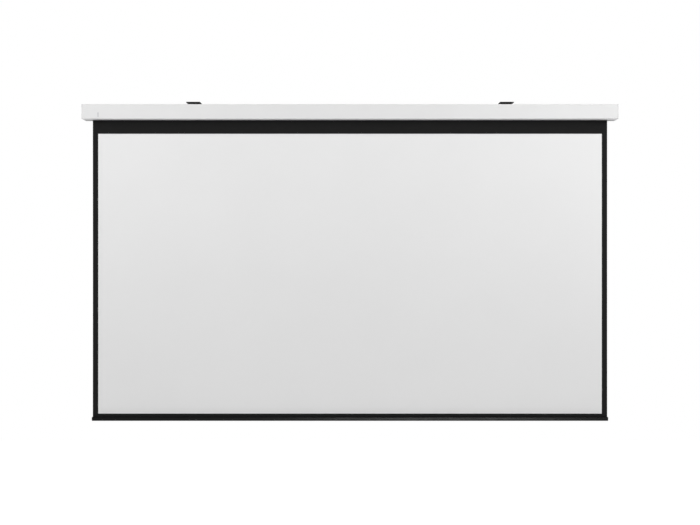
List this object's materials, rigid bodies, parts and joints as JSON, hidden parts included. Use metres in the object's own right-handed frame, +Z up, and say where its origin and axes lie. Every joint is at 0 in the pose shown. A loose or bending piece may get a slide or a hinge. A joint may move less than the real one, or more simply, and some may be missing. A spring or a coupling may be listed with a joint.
{
  "type": "motorized projection screen",
  "caption": "Electric roller screen: white T-slot case, motor in the roller, black-bordered white cloth, weight bar and sliding ceiling or wall brackets.",
  "frame": {"origin": "on the ceiling plane, midway between the two brackets, over the middle of the case's depth", "axes": "+X right along the case, seen from the audience; +Y to the rear, so the picture faces -Y; +Z up"},
  "size_m": [2.804, 0.0835, 1.6737],
  "materials": {
    "case_paint": "white powder coat, satin",
    "cap_plastic": "white, fine mould texture",
    "zinc_steel": "zinc plated",
    "bright_steel": "drawn, bright",
    "black_plastic": "black, moulded",
    "window_plastic": "pale smoked, glossy",
    "board": "green solder mask",
    "grey_plastic": "grey, moulded",
    "nylon": "natural nylon",
    "yellow_plastic": "yellow, moulded",
    "screen_cloth": "matt white picture area, black borders and back",
    "black_cloth": "matt black",
    "bar_black": "black anodised, satin",
    "bracket_black": "black powder coat on steel"
  },
  "bodies": {
    "case": {"case_shell": "case_paint", "end_cap_left": "cap_plastic", "end_cap_right": "cap_plastic", "cap_screw_left_1": "zinc_steel", "cap_screw_left_2": "zinc_steel", "cap_screw_left_3": "zinc_steel", "cap_screw_left_4": "zinc_steel", "cap_screw_right_1": "zinc_steel", "cap_screw_right_2": "zinc_steel", "cap_screw_right_3": "zinc_steel", "cap_screw_right_4": "zinc_steel", "motor_plate": "zinc_steel", "idler_plate": "zinc_steel", "motor_clip": "zinc_steel", "idler_clip": "zinc_steel", "cable_gland": "black_plastic", "gland_nut": "black_plastic", "receiver_window": "window_plastic", "receiver_board": "board", "control_box": "grey_plastic", "motor_head": "black_plastic", "motor_body": "zinc_steel", "idler_bearing": "nylon", "screen_fabric": "screen_cloth"},
    "roller": {"roller_tube": "zinc_steel", "fabric_wraps": "black_cloth", "crown_adapter": "black_plastic", "drive_adapter": "black_plastic", "motor_shaft": "bright_steel", "idler_plug": "black_plastic", "idler_pin": "bright_steel"},
    "bar": {"weight_bar": "bar_black", "bar_cap_left": "black_plastic", "bar_cap_right": "black_plastic", "hem_rod": "bright_steel", "fabric_hem": "black_cloth", "ballast_bar": "zinc_steel"},
    "left_bracket": {"bracket_left": "bracket_black", "spacer_left": "black_plastic", "t_nut_left": "zinc_steel", "clamp_screw_left_1": "zinc_steel", "clamp_screw_left_2": "zinc_steel"},
    "right_bracket": {"bracket_right": "bracket_black", "spacer_right": "black_plastic", "t_nut_right": "zinc_steel", "clamp_screw_right_1": "zinc_steel", "clamp_screw_right_2": "zinc_steel"},
    "up_screw": {"limit_screw_up": "nylon"},
    "down_screw": {"limit_screw_down": "yellow_plastic"}
  },
  "joints": [
    {"name": "bar_lift", "type": "slide", "parent": "case", "child": "bar", "axis": [0, 0, 1], "range_m": [0, 1.563], "deforming": ["screen_fabric"]},
    {"name": "roller_spin", "type": "hinge", "parent": "case", "child": "roller", "pos_m": [0, -0.01, -0.054], "axis": [1, 0, 0], "range_deg": [0, 3961]},
    {"name": "left_bracket_slide", "type": "slide", "parent": "case", "child": "left_bracket", "axis": [1, 0, 0], "range_m": [-0.541, 0.782]},
    {"name": "right_bracket_slide", "type": "slide", "parent": "case", "child": "right_bracket", "axis": [1, 0, 0], "range_m": [-0.782, 0.541]},
    {"name": "up_limit_turn", "type": "hinge", "parent": "case", "child": "up_screw", "pos_m": [-1.3887, 0.00127, -0.07231], "axis": [0, 0.5243, -0.8515], "range_deg": [-1440, 1440]},
    {"name": "down_limit_turn", "type": "hinge", "parent": "case", "child": "down_screw", "pos_m": [-1.3813, 0.00127, -0.07231], "axis": [0, 0.5243, -0.8515], "range_deg": [-1440, 1440]}
  ],
  "couplings": [
    {"joint": "roller_spin", "follows": "bar_lift", "rad_per_m": 44.219}
  ]
}
